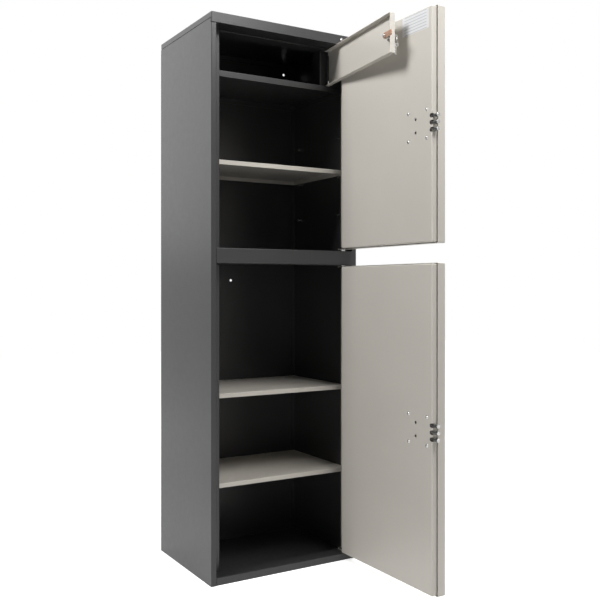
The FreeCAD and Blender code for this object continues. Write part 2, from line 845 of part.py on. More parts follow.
def lock_cam():
    """Flat cam, pointing past the free edge of the door."""
    reach = cam_lock_from_edge + cam_overreach
    half = cam_width / 2
    y = (core_end, core_end + cam_sheet)
    arm = block((cam_lock_x - reach, cam_lock_x), y, (cam_lock_z - half, cam_lock_z + half))
    far_edges = [edge for edge in arm.Edges if edge.BoundBox.XMax < cam_lock_x - reach / 2]
    tip = [edge for edge in far_edges if edge.BoundBox.YLength > cam_sheet / 2]
    boss = rod(half, (cam_lock_x, core_end, cam_lock_z), cam_sheet, Y_AXIS)
    return joined([arm.makeFillet(half / 2, tip), boss])


def cam_screw_head():
    """Pan-headed screw that holds the cam on the core."""
    start = (cam_lock_x, core_end + cam_sheet, cam_lock_z)
    head = rod(cam_screw_radius, start, cam_screw, Y_AXIS)
    crown = [edge for edge in head.Edges if edge.BoundBox.YMin > core_end + cam_sheet + cam_screw / 2]
    return head.makeFillet(cam_screw / 3, crown)


key_face = box_door_face - barrel_head
bow_y = key_face - key_neck - key_bow_radius
key_hole_y = bow_y - key_hole_offset
ring_top = cam_lock_z - key_hole_radius + ring_wire + ring_play
spare_hole_z = ring_top - 2 * ring_radius - key_hole_radius + ring_wire + ring_play


def box_key():
    """Key standing in the inner box's lock, with a round holed bow."""
    x = (cam_lock_x - key_sheet / 2, cam_lock_x + key_sheet / 2)
    half = key_blade_height / 2
    blade_y = (bow_y, key_face + key_blade_length)
    blade = block(x, blade_y, (cam_lock_z - half, cam_lock_z + half))
    bow = rod(key_bow_radius, (x[0], bow_y, cam_lock_z), key_sheet, X_AXIS)
    hole = rod(key_hole_radius, (x[0], key_hole_y, cam_lock_z), key_sheet, X_AXIS)
    return joined([blade, bow]).cut(hole)


def key_ring():
    """Wire ring hanging through the bow of the key."""
    centre = FreeCAD.Vector(cam_lock_x, key_hole_y, ring_top - ring_radius)
    return Part.makeTorus(ring_radius, ring_wire, centre, Y_AXIS)


def spare_key():
    """Second key hanging on the ring."""
    x = (cam_lock_x - key_sheet / 2, cam_lock_x + key_sheet / 2)
    bow_z = spare_hole_z - spare_hole_offset
    bow = rod(spare_bow_radius, (x[0], key_hole_y, bow_z), key_sheet, X_AXIS)
    hole = rod(key_hole_radius, (x[0], key_hole_y, spare_hole_z), key_sheet, X_AXIS)
    half = spare_blade_width / 2
    blade_top = bow_z - spare_bow_radius + spare_blade_overlap
    blade_end = blade_top - spare_blade_length
    blade = block(x, (key_hole_y - half, key_hole_y + half), (blade_end, blade_top))
    notches = []
    for step in range(1, 4):
        low = blade_end + (step - 1) * spare_notch_pitch + spare_notch_length / 2
        notch_y = (key_hole_y - half, key_hole_y - half + spare_notch_depth)
        notches.append(block(x, notch_y, (low, low + spare_notch_length)))
    return without(joined([bow, blade]), [hole] + notches)


def swung(shape, x, y, angle):
    """A closed shape turned about a vertical axis to where it stands at rest."""
    turned = shape.copy()
    turned.rotate(FreeCAD.Vector(x, y, 0), Z_AXIS, angle)
    return turned


def carcass():
    """Every fixed piece, by node name."""
    stop_low = (stop_foot, divider_under - stop_end_gap)
    stop_high = (divider_top + stop_end_gap, cap_under - stop_head_gap)
    nodes = {
        "left_side_panel": side_panel(True),
        "right_side_panel": side_panel(False),
        "back_panel": back_panel(),
        "top_cap": top_cap(),
        "base_panel": base_panel(),
        "middle_divider": middle_divider(),
        "stop_strip_upper": stop_strip(*stop_high),
        "stop_strip_lower": stop_strip(*stop_low),
        "shelf_studs": shelf_studs(),
        "hinge_bushes": hinge_bushes(),
        "thrust_washers": thrust_washers(),
        "box_floor": box_floor(),
        "box_header": box_header(),
        "box_hinge_jamb": box_hinge_jamb(),
        "box_lock_post": box_lock_post(),
    }
    for name, top in shelf_levels.items():
        nodes[name] = shelf(top)
    return nodes


def main_door(name):
    """Every piece of one main door with its lock, closed, by node name."""
    makers = {
        "door_skin": door_skin,
        "door_liner": door_liner,
        "pivot_plates": pivot_plates,
        "hinge_pins": hinge_pins,
        "lock_case": lock_case,
        "lock_rivets": lock_rivets,
        "escutcheon": escutcheon,
        "bolt_carriage": bolt_carriage,
        "lock_bolts": lock_bolts,
        "lock_plug": lock_plug,
    }
    return {f"{name}_{piece}": make(name) for piece, make in makers.items()}


def inner_box_door():
    """Every piece that swings with the inner box's door, closed, by node name."""
    return {
        "box_door_panel": box_door_panel(),
        "box_hinge_pins": box_hinge_pins(),
        "cam_lock_barrel": cam_lock_barrel(),
        "cam_lock_nut": cam_lock_nut(),
        "cam_lock_core": cam_lock_core(),
        "lock_cam": lock_cam(),
        "cam_screw": cam_screw_head(),
        "box_key": box_key(),
        "key_ring": key_ring(),
        "spare_key": spare_key(),
    }


def all_nodes():
    """Every node at rest, by name."""
    nodes = carcass()
    for name in door_heights:
        for node, shape in main_door(name).items():
            nodes[node] = swung(shape, pivot_x, pivot_y, door_open_angle)
    for node, shape in inner_box_door().items():
        nodes[node] = swung(shape, box_pivot_x, box_pivot_y, box_door_open_angle)
    return nodes


os.makedirs("parts", exist_ok=True)
for node_name, node_shape in all_nodes().items():
    print(node_name, len(node_shape.Solids), round(node_shape.Volume), node_shape.isValid())
    node_shape.exportStep(f"parts/{node_name}.step")
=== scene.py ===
"""Looks, light and camera for a two-door steel office cabinet with an inner lockable box."""

import json
import logging
import math
from collections.abc import Callable
from dataclasses import dataclass
from enum import Enum

import bmesh
import bpy
from mathutils import Matrix, Vector


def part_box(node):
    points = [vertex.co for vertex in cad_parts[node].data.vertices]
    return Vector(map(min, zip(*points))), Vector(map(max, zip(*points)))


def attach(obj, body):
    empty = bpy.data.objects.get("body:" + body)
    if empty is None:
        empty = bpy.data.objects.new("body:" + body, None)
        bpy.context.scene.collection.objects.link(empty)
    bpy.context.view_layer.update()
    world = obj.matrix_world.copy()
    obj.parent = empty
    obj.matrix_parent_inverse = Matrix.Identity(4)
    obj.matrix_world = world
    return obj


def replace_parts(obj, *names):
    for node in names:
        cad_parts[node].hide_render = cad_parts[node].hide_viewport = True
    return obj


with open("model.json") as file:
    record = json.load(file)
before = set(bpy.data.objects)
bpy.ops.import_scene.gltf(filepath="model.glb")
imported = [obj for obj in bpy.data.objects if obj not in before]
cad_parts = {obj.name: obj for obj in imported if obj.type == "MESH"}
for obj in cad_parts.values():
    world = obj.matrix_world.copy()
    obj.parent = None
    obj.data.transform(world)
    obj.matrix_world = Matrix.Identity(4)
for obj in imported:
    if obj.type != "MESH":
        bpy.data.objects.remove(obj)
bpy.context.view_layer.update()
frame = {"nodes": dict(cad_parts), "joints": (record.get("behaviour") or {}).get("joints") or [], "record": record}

log = logging.getLogger("cabinet")

Colour = tuple[float, float, float]
Point = tuple[float, float, float]
Span = tuple[float, float]
Socket = bpy.types.NodeSocket
Tree = bpy.types.NodeTree

WHITE = (1, 1, 1, 1)
NOISE_MIDDLE: Span = (0.3, 0.7)
GRAIN_MIDDLE: Span = (0.32, 0.68)
PLATE_MIDDLE: Span = (0.25, 0.75)
MASK_EDGE: Span = (0.4, 0.6)
FACING = 0.9
SHARP = math.radians(40)


class Slot(Enum):
    """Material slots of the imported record."""

    CARCASS = "carcass_paint"
    DOOR = "door_paint"
    SHELF = "shelf_paint"
    ZINC = "bright_zinc"
    DARK = "dark_steel"
    NICKEL = "lock_chrome"
    COPPER = "cam_copper"


class Body(Enum):
    """Moving bodies that new pieces ride on."""

    CABINET = "cabinet"
    UPPER_DOOR = "upper_door"
    BOX_LOCK = "box_lock_turn"
    KEY_RING = "key_ring"


def add_node(tree: Tree, kind: str, **settings: object) -> bpy.types.Node:
    """Add a node to a tree.

    Args:
        tree: Node tree of a material or the world.
        kind: Blender's type name of the node.
        **settings: Properties to set on it.

    Returns:
        The new node.
    """
    made = tree.nodes.new(kind)
    for name, value in settings.items():
        setattr(made, name, value)
    return made


class Shader:
    """A material being built, with short calls for its nodes and links."""

    def __init__(self, name: str) -> None:
        """Start a material whose patterns read Object coordinates.

        Args:
            name: Name of the material.
        """
        self.material = bpy.data.materials.new(name)
        self.material.use_nodes = True
        self.tree = self.material.node_tree
        self.surface = self.tree.nodes["Principled BSDF"]
        self.place = self.node("ShaderNodeTexCoord").outputs["Object"]

    def node(self, kind: str, **settings: object) -> bpy.types.Node:
        """Add a node to this material."""
        return add_node(self.tree, kind, **settings)

    def link(self, source: Socket, target: Socket) -> None:
        """Join an output to an input."""
        self.tree.links.new(source, target)

    def noise(self, scale: float, detail: float, stretch: Point = (1, 1, 1)) -> Socket:
        """Noise over the piece.

        Args:
            scale: Waves per metre.
            detail: Octaves of finer noise.
            stretch: Scale on each axis, for drawn or brushed patterns.

        Returns:
            The noise value.
        """
        mapping = self.node("ShaderNodeMapping")
        mapping.inputs["Scale"].default_value = stretch
        self.link(self.place, mapping.inputs["Vector"])
        noise = self.node("ShaderNodeTexNoise")
        noise.inputs["Scale"].default_value = scale
        noise.inputs["Detail"].default_value = detail
        self.link(mapping.outputs["Vector"], noise.inputs["Vector"])
        return noise.outputs["Fac"]

    def cells(self, scale: float) -> Socket:
        """Random value per crystal-like cell.

        Args:
            scale: Cells per metre.

        Returns:
            The cell colour.
        """
        cells = self.node("ShaderNodeTexVoronoi")
        cells.inputs["Scale"].default_value = scale
        self.link(self.place, cells.inputs["Vector"])
        return cells.outputs["Color"]

    def ramp(self, value: Socket, low: Colour, high: Colour, span: Span) -> Socket:
        """Colours between two ends, driven by a value.

        Args:
            value: The driving value.
            low: Colour at the lower end.
            high: Colour at the upper end.
            span: Values at which the two ends are reached.

        Returns:
            The colour.
        """
        ramp = self.node("ShaderNodeValToRGB")
        for element, place, colour in zip(ramp.color_ramp.elements, span, (low, high)):
            element.position = place
            element.color = (*colour, 1)
        self.link(value, ramp.inputs["Fac"])
        return ramp.outputs["Color"]

    def spread(self, value: Socket, low: float, high: float) -> Socket:
        """Map the middle of a noise value onto a range.

        Args:
            value: The noise value.
            low: Result at the noise's usual low.
            high: Result at the noise's usual high.

        Returns:
            The mapped value.
        """
        span = self.node("ShaderNodeMapRange")
        span.inputs["From Min"].default_value, span.inputs["From Max"].default_value = NOISE_MIDDLE
        span.inputs["To Min"].default_value = low
        span.inputs["To Max"].default_value = high
        self.link(value, span.inputs["Value"])
        return span.outputs["Result"]

    def at_height(self, height: float, reach: float, behind: float) -> Socket:
        """Mask of a level band behind the front.

        Args:
            height: Height of the band's middle in metres.
            reach: Half the band's height in metres.
            behind: Where the band starts, from front to back, in metres.

        Returns:
            One inside the band and nought outside.
        """
        axes = self.node("ShaderNodeSeparateXYZ")
        self.link(self.place, axes.inputs["Vector"])
        band = self.node("ShaderNodeMath", operation="COMPARE")
        self.link(axes.outputs["Z"], band.inputs[0])
        band.inputs[1].default_value = height
        band.inputs[2].default_value = reach
        deep = self.node("ShaderNodeMath", operation="GREATER_THAN")
        self.link(axes.outputs["Y"], deep.inputs[0])
        deep.inputs[1].default_value = behind
        both = self.node("ShaderNodeMath", operation="MULTIPLY")
        self.link(band.outputs["Value"], both.inputs[0])
        self.link(deep.outputs["Value"], both.inputs[1])
        return both.outputs["Value"]

    def multiply(self, a: Socket, b: Socket) -> Socket:
        """One colour tinted by another."""
        mix = self.node("ShaderNodeMix", data_type="RGBA", blend_type="MULTIPLY")
        mix.inputs["Factor"].default_value = 1
        self.link(a, mix.inputs[6])
        self.link(b, mix.inputs[7])
        return mix.outputs[2]

    def bump(self, value: Socket, height: float, under: Socket | None = None) -> Socket:
        """Small relief.

        Args:
            value: The relief's shape.
            height: Height of the relief in metres.
            under: Normal of a coarser relief below this one.

        Returns:
            The bumped normal.
        """
        bump = self.node("ShaderNodeBump")
        bump.inputs["Distance"].default_value = height
        self.link(value, bump.inputs["Height"])
        if under is not None:
            self.link(under, bump.inputs["Normal"])
        return bump.outputs["Normal"]

    def set(self, **sockets: object) -> None:
        """Set or link the surface's sockets, named with underscores."""
        for name, value in sockets.items():
            socket = self.surface.inputs[name.replace("_", " ")]
            if isinstance(value, Socket):
                self.link(value, socket)
            else:
                socket.default_value = value


@dataclass(frozen=True)
class PowderCoat:
    """Baked powder paint with a fine orange peel and a faint cloudiness.

    Attributes:
        name: Name of the material.
        colour: Middle colour.
        cloud: How far the colour drifts over a panel, as a share.
        fleck: How far single grains differ, as a share.
        roughness: Lowest and highest roughness.
        gloss: Specular level.
        joint: Height of the middle of a band of painted shadow along an open joint in metres, or nought.
        seam_shadow_share: Share of the colour that is left in the band of painted shadow.
        seam_shadow_reach: Half the height of the band of painted shadow in metres.
        seam_shadow_start: Where the band of painted shadow starts, from front to back, in metres.
        drift_waves: Waves of cloudiness per metre.
        sheen_waves: Waves of roughness per metre.
        grain_waves: Grains per metre.
        grain_height: Height of the grains in metres.
        peel_waves: Waves of the orange peel per metre.
        peel_height: Height of the orange peel in metres.
    """

    name: str
    colour: Colour
    cloud: float
    fleck: float
    roughness: Span
    gloss: float
    joint: float = 0
    seam_shadow_share: float = 0.12
    seam_shadow_reach: float = 0.00105
    seam_shadow_start: float = -0.1675
    drift_waves: float = 5
    sheen_waves: float = 60
    grain_waves: float = 1400
    grain_height: float = 0.000004
    peel_waves: float = 330
    peel_height: float = 0.000018

    def shade(self, share: float) -> Colour:
        """The paint's colour, lighter or darker by a share."""
        return tuple(c * (1 + share) for c in self.colour)

    def material(self) -> bpy.types.Material:
        """Build the paint.

        Returns:
            The material.
        """
        paint = Shader(self.name)
        clouds = paint.noise(self.drift_waves, 3)
        drift = paint.ramp(clouds, self.shade(-self.cloud), self.shade(self.cloud), NOISE_MIDDLE)
        dark = (1 - self.fleck,) * 3
        light = (1 + self.fleck / 2,) * 3
        grain = paint.noise(self.grain_waves, 2)
        colour = paint.multiply(drift, paint.ramp(grain, dark, light, GRAIN_MIDDLE))
        # Painted shadow: a thin level band of darker paint that stands in for the shade in the open seam under the
        # cap.
        if self.joint:
            seam_shadow_band = paint.at_height(self.joint, self.seam_shadow_reach, self.seam_shadow_start)
            shade = paint.ramp(seam_shadow_band, (1, 1, 1), (self.seam_shadow_share,) * 3, MASK_EDGE)
            colour = paint.multiply(colour, shade)
        peel = paint.bump(paint.noise(self.peel_waves, 2), self.peel_height)
        paint.set(
            Base_Color=colour,
            Roughness=paint.spread(paint.noise(self.sheen_waves, 4), *self.roughness),
            Specular_IOR_Level=self.gloss,
            Normal=paint.bump(grain, self.grain_height, peel),
        )
        return paint.material


@dataclass(frozen=True)
class Plating:
    """Plated or bare metal with a crystal or drawn pattern.

    Attributes:
        name: Name of the material.
        low: Darker metal colour.
        high: Lighter metal colour.
        roughness: Lowest and highest roughness.
        cells: Crystals per metre, or 0 for a drawn pattern.
        drawn: Scale on each axis of a drawn pattern.
        grain_waves: Waves of its grain per metre.
        grain_height: Height of the grain in metres.
    """

    name: str
    low: Colour
    high: Colour
    roughness: Span
    cells: float = 0
    drawn: Point = (1, 1, 1)
    grain_waves: float = 700
    grain_height: float = 0.00003

    def material(self) -> bpy.types.Material:
        """Build the metal.

        Returns:
            The material.
        """
        metal = Shader(self.name)
        grain = metal.noise(self.grain_waves, 3, self.drawn)
        pattern = metal.cells(self.cells) if self.cells else grain
        metal.set(
            Base_Color=metal.ramp(pattern, self.low, self.high, PLATE_MIDDLE),
            Metallic=1.0,
            Roughness=metal.spread(grain, *self.roughness),
            Normal=metal.bump(grain, self.grain_height),
        )
        return metal.material


@dataclass(frozen=True)
class LabelFilm:
    """Blank write-on film with pale ruled lines.

    Attributes:
        name: Name of the material.
        film: Colour of the film.
        rule: Colour of the lines.
        pitch: Distance between lines in metres.
        first: Height of one line in metres.
        margins: Where the lines start and end, as y in metres.
        rule_edge: Heights of the wave at which a line starts and is full.
        shade: Share of the colour at the film's darkest.
        roughness: Lowest and highest roughness.
        paper_waves: Waves of its shade per metre.
        sheen_waves: Waves of roughness per metre.
    """

    name: str
    film: Colour
    rule: Colour
    pitch: float
    first: float
    margins: Span
    rule_edge: Span = (0.72, 0.86)
    shade: float = 0.97
    roughness: Span = (0.32, 0.42)
    paper_waves: float = 900
    sheen_waves: float = 200

    def material(self) -> bpy.types.Material:
        """Build the film.

        Returns:
            The material.
        """
        film = Shader(self.name)
        axes = film.node("ShaderNodeSeparateXYZ")
        film.link(film.place, axes.inputs["Vector"])
        turn = film.node("ShaderNodeMath", operation="MULTIPLY_ADD")
        turn.inputs[1].default_value = 2 * math.pi / self.pitch
        turn.inputs[2].default_value = -self.first * 2 * math.pi / self.pitch
        film.link(axes.outputs["Z"], turn.inputs[0])
        wave = film.node("ShaderNodeMath", operation="COSINE")
        film.link(turn.outputs["Value"], wave.inputs[0])
        line = film.node("ShaderNodeMapRange")
        line.inputs["From Min"].default_value, line.inputs["From Max"].default_value = self.rule_edge
        film.link(wave.outputs["Value"], line.inputs["Value"])
        masks = [line.outputs["Result"]]
        for operation, limit in zip(("GREATER_THAN", "LESS_THAN"), self.margins):
            side = film.node("ShaderNodeMath", operation=operation)
            side.inputs[1].default_value = limit
            film.link(axes.outputs["Y"], side.inputs[0])
            masks.append(side.outputs["Value"])
        mask = masks[0]
        for other in masks[1:]:
            both = film.node("ShaderNodeMath", operation="MULTIPLY")
            film.link(mask, both.inputs[0])
            film.link(other, both.inputs[1])
            mask = both.outputs["Value"]
        shaded = tuple(c * self.shade for c in self.film)
        paper = film.ramp(film.noise(self.paper_waves, 2), shaded, self.film, NOISE_MIDDLE)
        colour = film.node("ShaderNodeMix", data_type="RGBA")
        colour.inputs[7].default_value = (*self.rule, 1)
        film.link(mask, colour.inputs["Factor"])
        film.link(paper, colour.inputs[6])
        sheen = film.spread(film.noise(self.sheen_waves, 2), *self.roughness)
        film.set(Base_Color=colour.outputs[2], Roughness=sheen)
        return film.material


class Bench:
    """One new mesh, modelled with Blender's own operators."""

    def __init__(self, name: str) -> None:
        """Take the primitive that was just added as the piece.

        Args:
            name: Name of the piece.
        """
        self.piece = bpy.context.active_object
        self.piece.name = name
        self.piece.data.name = name

    @classmethod
    def cylinder(cls, name: str, radius: float, depth: float, sides: int, at: Point = (0, 0, 0)) -> "Bench":
        """Start from a cylinder that stands on z.

        Args:
            name: Name of the piece.
            radius: Radius in metres.
            depth: Height in metres.
            sides: Number of sides.
            at: Centre.

        Returns:
            The bench with the new piece.
        """
        bpy.ops.object.select_all(action="DESELECT")
        bpy.ops.mesh.primitive_cylinder_add(vertices=sides, radius=radius, depth=depth, location=at)
        return cls(name)

    @classmethod
    def block(cls, name: str, size: Point, at: Point = (0, 0, 0)) -> "Bench":
        """Start from a block.

        Args:
            name: Name of the piece.
            size: Lengths on the three axes in metres.
            at: Centre.

        Returns:
            The bench with the new piece.
        """
        bpy.ops.object.select_all(action="DESELECT")
        bpy.ops.mesh.primitive_cube_add(size=1, location=at, scale=size)
        bench = cls(name)
        bench.settle(Matrix.Identity(4))
        return bench

    @classmethod
    def circle(cls, name: str, radius: float, sides: int, at: Point = (0, 0, 0)) -> "Bench":
        """Start from an open ring of edges that lies flat.

        Args:
            name: Name of the piece.
            radius: Radius in metres.
            sides: Number of sides.
            at: Centre.

        Returns:
            The bench with the new piece.
        """
        bpy.ops.object.select_all(action="DESELECT")
        bpy.ops.mesh.primitive_circle_add(vertices=sides, radius=radius, location=at)
        return cls(name)

    def select(self, faces: Callable[[bmesh.types.BMFace], bool]) -> None:
        """Go to edit mode with the faces that pass a test selected."""
        self.activate()
        bpy.ops.object.mode_set(mode="EDIT")
        bpy.ops.mesh.select_mode(type="FACE")
        bpy.ops.mesh.select_all(action="DESELECT")
        mesh = bmesh.from_edit_mesh(self.piece.data)
        for face in mesh.faces:
            face.select_set(faces(face))
        bmesh.update_edit_mesh(self.piece.data)

    def select_edges(self, edges: Callable[[bmesh.types.BMEdge], bool]) -> None:
        """Go to edit mode with the edges that pass a test selected."""
        self.activate()
        bpy.ops.object.mode_set(mode="EDIT")
        bpy.ops.mesh.select_mode(type="EDGE")
        bpy.ops.mesh.select_all(action="DESELECT")
        mesh = bmesh.from_edit_mesh(self.piece.data)
        for edge in mesh.edges:
            edge.select_set(edges(edge))
        bmesh.update_edit_mesh(self.piece.data)

    def done(self) -> None:
        """Leave edit mode."""
        bpy.ops.object.mode_set(mode="OBJECT")

    def activate(self) -> None:
        """Make this piece the only selected one."""
        bpy.ops.object.select_all(action="DESELECT")
        self.piece.select_set(True)
        bpy.context.view_layer.objects.active = self.piece

    def modify(self, kind: str, **settings: object) -> None:
        """Add a modifier and apply it.

        Args:
            kind: Blender's type name of the modifier.
            **settings: Properties to set on it.
        """
        self.activate()
        made = self.piece.modifiers.new(kind.title(), kind)
        for name, value in settings.items():
            setattr(made, name, value)
        bpy.ops.object.modifier_apply(modifier=made.name)

    def cut(self, tool: "Bench") -> None:
        """Take another piece away from this one."""
        self.modify("BOOLEAN", operation="DIFFERENCE", object=tool.piece, solver="EXACT")
        bpy.data.objects.remove(tool.piece)

    def fuse(self, other: "Bench") -> None:
        """Merge another piece into this one."""
        self.modify("BOOLEAN", operation="UNION", object=other.piece, solver="EXACT")
        bpy.data.objects.remove(other.piece)

    def round_edges(self, width: float, segments: int) -> None:
        """Round all sharp edges.

        Args:
            width: Width of the rounding in metres.
            segments: Faces across it.
        """
        self.modify("BEVEL", width=width, segments=segments, limit_method="ANGLE", angle_limit=SHARP)

    def settle(self, place: Matrix) -> None:
        """Put the piece in its place, with the place in its mesh."""
        self.activate()
        self.piece.matrix_world = place @ self.piece.matrix_world
        bpy.context.view_layer.update()
        bpy.ops.object.transform_apply(location=True, rotation=True, scale=True)

    def smooth(self, degrees: float = 35) -> None:
        """Shade smooth across edges flatter than an angle."""
        self.activate()
        bpy.ops.object.shade_smooth_by_angle(angle=math.radians(degrees))

    def dress(self, material: bpy.types.Material, slot: Slot | None, body: Body) -> bpy.types.Object:
        """Give the piece its finish and its body.

        Args:
            material: The finish.
            slot: The record's slot whose finish it shares, if any; not used.
            body: The body it moves with.

        Returns:
            The finished piece.
        """
        self.piece.data.materials.clear()
        self.piece.data.materials.append(material)
        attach(self.piece, body.value)
        log.info("%s: %d faces", self.piece.name, len(self.piece.data.polygons))
        return self.piece


FINISHES: dict[Slot, PowderCoat | Plating] = {
    # The carcass paint carries a band of painted shadow at 1.474 m, in the seam under the cap.
    Slot.CARCASS: PowderCoat(
        "dark_grey_powder_coat", (0.034, 0.034, 0.035), 0.05, 0.05, (0.29, 0.35), 0.36, 1.474
    ),
    Slot.DOOR: PowderCoat(
        "light_grey_powder_coat", (0.57, 0.54, 0.49), 0.015, 0.05, (0.32, 0.42), 0.35
    ),
    Slot.SHELF: PowderCoat("shelf_powder_coat", (0.55, 0.52, 0.47), 0.02, 0.05, (0.32, 0.42), 0.5),
    Slot.ZINC: Plating(
        "bright_zinc_plate", (0.36, 0.36, 0.355), (0.52, 0.52, 0.505), (0.14, 0.24), cells=900
    ),
    Slot.DARK: Plating(
        "dark_drawn_steel", (0.16, 0.155, 0.15), (0.27, 0.265, 0.26), (0.28, 0.4), drawn=(1, 1, 12)
    ),
    Slot.NICKEL: Plating("nickel_plate", (0.46, 0.455, 0.44), (0.58, 0.575, 0.555), (0.12, 0.2)),
    Slot.COPPER: Plating(
        "passivated_plate", (0.28, 0.155, 0.105), (0.44, 0.27, 0.185), (0.24, 0.38), cells=700
    ),
}


class SteelWork:
    """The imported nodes, which keep their shapes and get their finishes here."""

    def __init__(self) -> None:
        """Build one material for each slot of the record."""
        self.materials = {slot: finish.material() for slot, finish in FINISHES.items()}

    def dress(self) -> None:
        """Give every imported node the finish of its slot."""
        for row in frame["record"]["subparts"]:
            node = frame["nodes"][row["node"]]
            node.data.materials.clear()
            node.data.materials.append(self.materials[Slot(row["material_slot"])])
            log.info("%s: %s", row["node"], row["material_slot"])


@dataclass(frozen=True)
class BlankLabel:
    """Blank write-on label near the free top corner of the upper door's liner."""

    length: float = 0.1
    height: float = 0.048
    film: float = 0.00018
    corner: float = 0.003
    from_free_end: float = 0.0115
    from_top: float = 0.003
    lines: float = 6.5
    ruled: float = 0.84
    paper: Colour = (0.66, 0.67, 0.68)
    ink: Colour = (0.4, 0.41, 0.43)

    def build(self) -> None:
        """Model, place and dress the label."""
        low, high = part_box("upper_door_liner")
        middle_y = low.y + self.from_free_end + self.length / 2
        middle_z = high.z - self.from_top - self.height / 2
        face_x = low.x
        size = (self.film, self.length, self.height)
        label = Bench.block("blank_label", size, (face_x - self.film / 2, middle_y, middle_z))
        label.select_edges(lambda edge: abs(edge.verts[0].co.x - edge.verts[1].co.x) > self.film / 2)
        bpy.ops.mesh.bevel(offset=self.corner, segments=6)
        label.done()
        pitch = self.height / self.lines
        half = self.length * self.ruled / 2
        margins = (middle_y - half, middle_y + half)
        film = LabelFilm("blank_label_film", self.paper, self.ink, pitch, middle_z, margins)
        label.dress(film.material(), None, Body.UPPER_DOOR)


@dataclass(frozen=True)
class CapScrew:
    """Bright pan-headed screw in the front lip of the cap, over the hinge."""

    radius: float = 0.0055
    head: float = 0.0026
    x: float = 0.179
    above_lip: float = 0.013
    slot_width: float = 0.0012
    slot_length: float = 0.00715
    dome: float = 0.00156
    sides: int = 32

    def build(self, material: bpy.types.Material) -> None:
        """Model, place and dress the screw.

        Args:
            material: Its plating.
        """
        low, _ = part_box("top_cap")
        middle = (0, 0, self.head / 2)
        screw = Bench.cylinder("cap_screw", self.radius, self.head, self.sides, middle)
        screw.select(lambda face: face.normal.z > FACING)
        bpy.ops.mesh.bevel(offset=self.dome, segments=4)
        screw.done()
        for length in ((self.slot_length, self.slot_width), (self.slot_width, self.slot_length)):
            screw.cut(Bench.block("recess", (*length, self.head), (0, 0, self.head)))
        place = Vector((self.x, low.y, low.z + self.above_lip))
        screw.settle(Matrix.Translation(place) @ Matrix.Rotation(math.radians(90), 4, "X"))
        screw.smooth()
        screw.dress(material, Slot.ZINC, Body.CABINET)


@dataclass(frozen=True)
class KeyBlank:
    """A flat key with a round rimmed bow, lying on z with its blade along +y."""

    bow_radius: float = 0.0075
    sheet: float = 0.0022
    rim: float = 0.0012
    recess: float = 0.0003
    hole_radius: float = 0.0026
    hole_offset: float = 0.0025
    blade_width: float = 0.0075
    blade_end: float = 0.0275
    groove_width: float = 0.0016
    groove_depth: float = 0.0005
    tip: float = 0.0028
    tip_from: float = 0.9
    notch: float = 0.0026
    edge: float = 0.00016
    blade_share: float = 0.9
    groove_side: float = 0.16
    cut_depth: float = 0.28
    cut_step: float = 0.1
    bow_sides: int = 64
    hole_sides: int = 48
    notches: tuple[float, ...] = (0.0118, 0.0152, 0.0186, 0.0220)

    def model(self, name: str) -> Bench:
        """Model the key.

        Args:
            name: Name of the piece.

        Returns:
            The bench with the key, its bow's centre at the origin.
        """
        key = Bench.cylinder(name, self.bow_radius, self.sheet, self.bow_sides)
        key.select(lambda face: abs(face.normal.z) > FACING)
        bpy.ops.mesh.inset(thickness=self.rim, depth=-self.recess, use_individual=True)
        key.done()
        key.fuse(self.blade())
        at = (0, -self.hole_offset, 0)
        key.cut(Bench.cylinder("hole", self.hole_radius, 2 * self.sheet, self.hole_sides, at))
        key.round_edges(self.edge, 2)
        key.smooth()
        return key

    def at_tip(self, edge: bmesh.types.BMEdge) -> bool:
        """Whether an edge is one of the blade's two corners at its far end."""
        ends = [vertex.co for vertex in edge.verts]
        far = min(end.y for end in ends) > self.blade_end * self.tip_from
        return far and abs(ends[0].z - ends[1].z) > self.sheet / 2

    def blade(self) -> Bench:
        """Model the blade with its tip, grooves and cuts.

        Returns:
            The bench with the blade.
        """
        size = (self.blade_width, self.blade_end, self.sheet * self.blade_share)
        blade = Bench.block("blade", size, (0, self.blade_end / 2, 0))
        blade.select_edges(self.at_tip)
        bpy.ops.mesh.bevel(offset=self.tip, segments=1)
        blade.done()
        for side in (-1, 1):
            at = (side * self.blade_width * self.groove_side, self.blade_end, side * size[2] / 2)
            length = 2 * (self.blade_end - self.bow_radius - self.rim)
            blade.cut(Bench.block("groove", (self.groove_width, length, 2 * self.groove_depth), at))
        for step, y in enumerate(self.notches):
            cutter = Bench.block("notch", (self.notch, self.notch, 2 * self.sheet))
            depth = self.blade_width / 2 + self.notch * (self.cut_depth - self.cut_step * (step % 2))
            cutter.settle(Matrix.Translation((depth, y, 0)) @ Matrix.Rotation(math.radians(45), 4, "Z"))
            blade.cut(cutter)
        return blade


@dataclass(frozen=True)
class SplitRing:
    """Ring of spring wire wound twice round, lying on z."""

    radius: float = 0.006
    wire: float = 0.00042
    pitch: float = 0.00086
    turns: int = 2
    steps: int = 56
    wire_sides: int = 14

    def model(self, name: str) -> Bench:
        """Model the ring.

        Args:
            name: Name of the piece.

        Returns:
            The bench with the ring, its centre at the origin.
        """
        ring = Bench.circle(name, self.wire, self.wire_sides)
        start = Matrix.Translation((self.radius, 0, -self.pitch * self.turns / 2))
        ring.settle(start @ Matrix.Rotation(math.radians(90), 4, "X"))
        ring.modify(
            "SCREW",
            axis="Z",
            angle=2 * math.pi,
            screw_offset=self.pitch,
            iterations=self.turns,
            steps=self.steps,
            render_steps=self.steps,
        )
        ring.select_edges(lambda edge: edge.is_boundary)
        bpy.ops.mesh.fill_holes(sides=0)
        bpy.ops.mesh.select_all(action="SELECT")
        bpy.ops.mesh.normals_make_consistent(inside=False)
        ring.done()
        ring.smooth(60)
        return ring


